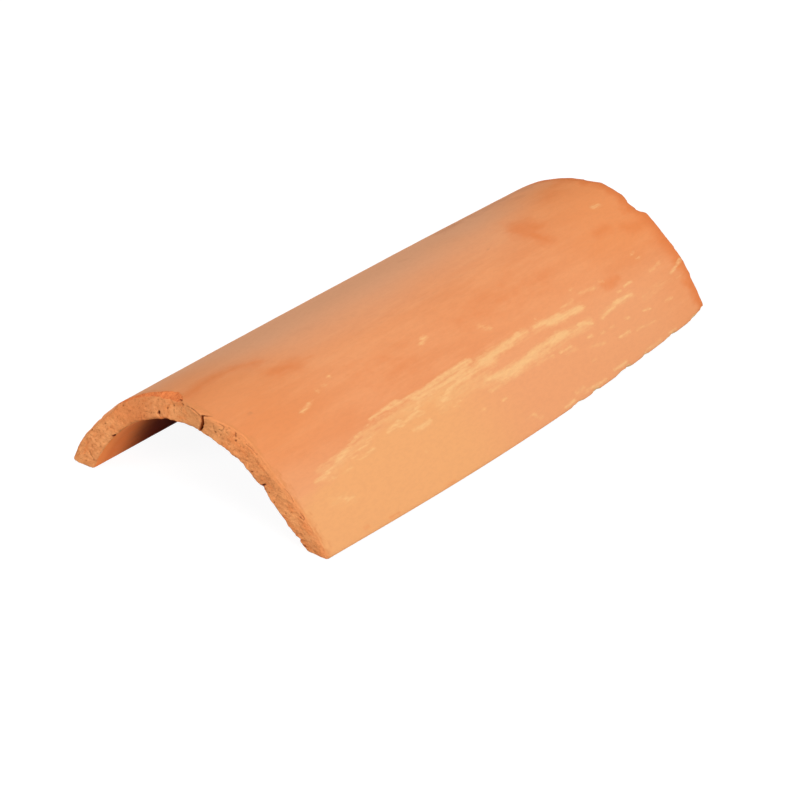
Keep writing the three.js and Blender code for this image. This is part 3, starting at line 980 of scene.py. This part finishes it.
def terracotta():
    material = bpy.data.materials.new("terracotta")
    material.use_nodes = True
    shader = material.node_tree.nodes["Principled BSDF"]
    paint = Paint(material.node_tree)

    frayed = paint.swing(paint.noise(3, seed=10, octaves=3), 1)
    raw = paint.ramp(paint.plus(paint.attribute("cut"), frayed), 0.35, 0.65)
    outside = paint.ramp(paint.depth, 3, 12)
    lime = paint.times(paint.times(lime_marks(paint), outside), 0.8)
    streaks = paint.noise((2.2, 60, 2.2), seed=13, octaves=3, rough=0.6)

    colour = clay_colour(paint, outside, raw, lime)
    levels = {"Value": streaks, "To Min": SMOOTHEST, "To Max": ROUGHEST}
    roughness = paint.node("MapRange", levels).outputs["Result"]
    height = surface_height(paint, streaks, raw, lime)
    relief = paint.node("Bump", {"Height": height, "Distance": MM, "Strength": 1.0})
    paint.tree.links.new(colour, shader.inputs["Base Color"])
    paint.tree.links.new(roughness, shader.inputs["Roughness"])
    paint.tree.links.new(relief.outputs["Normal"], shader.inputs["Normal"])
    shader.inputs["Specular IOR Level"].default_value = GLOSS
    return material


# ---- Studio -------------------------------------------------------------------------------

CAMERA_AZIMUTH = 38.48
CAMERA_ELEVATION = 27.91
CAMERA_DISTANCE = 2004.6
CAMERA_ASIDE = -6.42
CAMERA_UP = -9.9
CAMERA_REACH = 50.0  # m
FOCAL_PIXELS = 3137.0
PICTURE = 800
SENSOR = 36.0

# Level is the share of full light on a surface that faces the lamp. Spread is in degrees.
LAMPS = [
    dict(name="key", azimuth=72, elevation=16, level=0.77, spread=24),
    dict(name="front_fill", azimuth=-25, elevation=15, level=0.6, spread=30),
    dict(name="overhead", azimuth=0, elevation=90, level=0.48, spread=60),
]
WORLD_LEVEL = 0.04

# The camera sees a glow near white and a grey that the lamps light, which keeps the tile's shadow.
# Light on its way to the tile meets the bounce grey instead.
FLOOR_HALF = 6.0  # m
FLOOR_GAP = 0.2 * MM  # between the soles and the floor
FLOOR_GLOW = 0.93
FLOOR_GREY = 0.16
FLOOR_BOUNCE = 0.2


def direction(azimuth, elevation):
    """Unit vector from the tile towards a viewer or a lamp; azimuth 0 is in front, along -Y."""
    turn, lift = math.radians(azimuth), math.radians(elevation)
    return Vector((math.sin(turn) * math.cos(lift), -math.cos(turn) * math.cos(lift),
                   math.sin(lift)))


def add_camera(centre):
    back = direction(CAMERA_AZIMUTH, CAMERA_ELEVATION)
    right = Vector((0, 0, 1)).cross(back).normalized()
    up = back.cross(right)
    place = back * CAMERA_DISTANCE + right * CAMERA_ASIDE + up * CAMERA_UP - Vector(centre)
    data = bpy.data.cameras.new("camera")
    data.sensor_width = SENSOR
    data.lens = SENSOR * FOCAL_PIXELS / PICTURE
    data.clip_end = CAMERA_REACH
    camera = bpy.data.objects.new("camera", data)
    camera.location = place * MM
    camera.rotation_euler = back.to_track_quat("Z", "Y").to_euler()
    bpy.context.scene.collection.objects.link(camera)
    bpy.context.scene.camera = camera


def add_sun(name, azimuth, elevation, level, spread):
    data = bpy.data.lights.new(name, "SUN")
    data.energy = math.pi * level
    data.angle = math.radians(spread)
    lamp = bpy.data.objects.new(name, data)
    lamp.rotation_euler = direction(azimuth, elevation).to_track_quat("Z", "Y").to_euler()
    bpy.context.scene.collection.objects.link(lamp)


def seen_directly(tree):
    """1 for what the camera sees itself, in a gloss or through glass; 0 for light on the way."""
    path = tree.nodes.new("ShaderNodeLightPath")
    total = path.outputs["Is Camera Ray"]
    for kind in ("Is Glossy Ray", "Is Transmission Ray"):
        either = tree.nodes.new("ShaderNodeMath")
        either.operation = "MAXIMUM"
        tree.links.new(total, either.inputs[0])
        tree.links.new(path.outputs[kind], either.inputs[1])
        total = either.outputs[0]
    return total


def grey_shader(tree, kind, grey):
    node = tree.nodes.new("ShaderNode" + kind)
    node.inputs["Color"].default_value = (grey, grey, grey, 1)
    return node


def show(tree, seen, met, output):
    """Sends one shader to the camera, and another to the light on its way."""
    choice = tree.nodes.new("ShaderNodeMixShader")
    tree.links.new(seen_directly(tree), choice.inputs["Fac"])
    tree.links.new(met.outputs[0], choice.inputs[1])
    tree.links.new(seen.outputs[0], choice.inputs[2])
    tree.links.new(choice.outputs[0], output.inputs["Surface"])


def add_world():
    world = bpy.data.worlds.new("studio")
    bpy.context.scene.world = world
    world.use_nodes = True
    tree = world.node_tree
    light = tree.nodes["Background"]
    light.inputs["Color"].default_value = (1, 1, 1, 1)
    light.inputs["Strength"].default_value = WORLD_LEVEL
    show(tree, grey_shader(tree, "Background", 1), light, tree.nodes["World Output"])


def add_floor():
    half = FLOOR_HALF
    mesh = bpy.data.meshes.new("floor")
    mesh.from_pydata([(-half, -half, 0), (half, -half, 0), (half, half, 0), (-half, half, 0)],
                     [], [(0, 1, 2, 3)])
    floor = bpy.data.objects.new("floor", mesh)
    floor.location.z = -FLOOR_GAP
    bpy.context.scene.collection.objects.link(floor)
    mesh.materials.append(floor_material())


def floor_material():
    """White where the lamps reach it, and a soft pale grey in the tile's shadow."""
    material = bpy.data.materials.new("white_floor")
    material.use_nodes = True
    tree = material.node_tree
    tree.nodes.clear()
    glow = grey_shader(tree, "Emission", 1)
    glow.inputs["Strength"].default_value = FLOOR_GLOW
    seen = tree.nodes.new("ShaderNodeAddShader")
    tree.links.new(glow.outputs[0], seen.inputs[0])
    tree.links.new(grey_shader(tree, "BsdfDiffuse", FLOOR_GREY).outputs[0], seen.inputs[1])
    bounce = grey_shader(tree, "BsdfDiffuse", FLOOR_BOUNCE)
    show(tree, seen, bounce, tree.nodes.new("ShaderNodeOutputMaterial"))
    return material


bpy.context.scene.view_settings.view_transform = "Standard"
tile, centre = make_tile()
tile.data.materials.append(terracotta())
add_camera(centre)
add_floor()
add_world()
for lamp in LAMPS:
    add_sun(**lamp)
